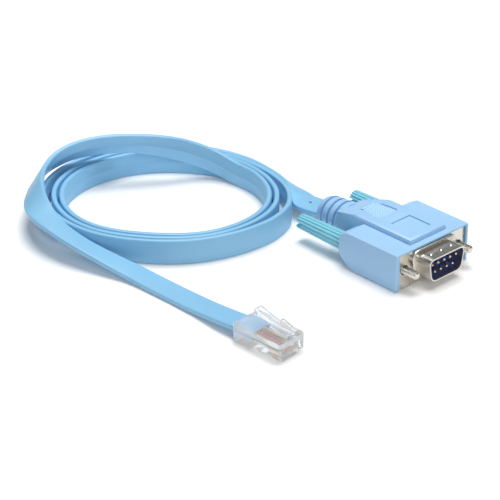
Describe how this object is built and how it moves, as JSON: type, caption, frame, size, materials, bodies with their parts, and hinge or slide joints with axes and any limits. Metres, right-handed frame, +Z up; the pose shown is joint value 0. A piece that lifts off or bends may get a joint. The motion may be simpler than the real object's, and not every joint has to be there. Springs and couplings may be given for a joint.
{
  "type": "rj45 console cable",
  "caption": "Flat console cable coiled on edge, with a D-sub plug with thumbscrews at one end and a clear modular plug at the other.",
  "frame": {"origin": "bottom centre of the D-sub head's bounding box, on the surface it lies on", "axes": "+X mating direction of the D-sub head, +Y along its row of pins, +Z up"},
  "size_m": [0.1366, 0.0976, 0.0191],
  "materials": {
    "hood": "soft satin light blue PVC overmoulding",
    "cable": "satin light blue PVC sheath",
    "grip": "satin teal blue, finely ribbed",
    "nickel": "bright nickel plate",
    "gold": "thin gold plate",
    "insulator": "navy moulded insulator",
    "clear": "clear polycarbonate",
    "wire_1": "green",
    "wire_2": "orange",
    "wire_3": "red",
    "wire_4": "dark red",
    "wire_5": "yellow",
    "wire_6": "white",
    "wire_7": "violet",
    "wire_8": "grey"
  },
  "bodies": {
    "base": {"connector_hood": "hood", "dsub_shell": "nickel", "dsub_insulator": "insulator", "cable_coil": "cable", "cable_tail": "cable", "cable_lead": "cable", "plug_body": "clear", "plug_jacket": "cable", "contact_pin_1": "gold", "contact_pin_2": "gold", "contact_pin_3": "gold", "contact_pin_4": "gold", "contact_pin_5": "gold", "contact_pin_6": "gold", "contact_pin_7": "gold", "contact_pin_8": "gold", "contact_pin_9": "gold", "plug_contact_1": "gold", "plug_contact_2": "gold", "plug_contact_3": "gold", "plug_contact_4": "gold", "plug_contact_5": "gold", "plug_contact_6": "gold", "plug_contact_7": "gold", "plug_contact_8": "gold", "plug_wire_1": "wire_1", "plug_wire_2": "wire_2", "plug_wire_3": "wire_3", "plug_wire_4": "wire_4", "plug_wire_5": "wire_5", "plug_wire_6": "wire_6", "plug_wire_7": "wire_7", "plug_wire_8": "wire_8"},
    "thumbscrew_left": {"thumbscrew_left_grip": "grip", "thumbscrew_left_screw": "nickel"},
    "thumbscrew_right": {"thumbscrew_right_grip": "grip", "thumbscrew_right_screw": "nickel"},
    "latch": {"plug_latch": "clear"}
  },
  "joints": [
    {"name": "thumbscrew_left_turn", "type": "hinge", "parent": "base", "child": "thumbscrew_left", "pos_m": [0, 0.0125, 0.0066], "axis": [1, 0, 0], "continuous": true},
    {"name": "thumbscrew_right_turn", "type": "hinge", "parent": "base", "child": "thumbscrew_right", "pos_m": [0, -0.0125, 0.0066], "axis": [1, 0, 0], "continuous": true},
    {"name": "latch_press", "type": "hinge", "parent": "base", "child": "latch", "pos_m": [0.02538, -0.0676, 0.00725], "axis": [-0.0489, 0.9988, 0], "range_deg": [-12, 0], "stiffness_Nm_per_rad": 0.02}
  ]
}
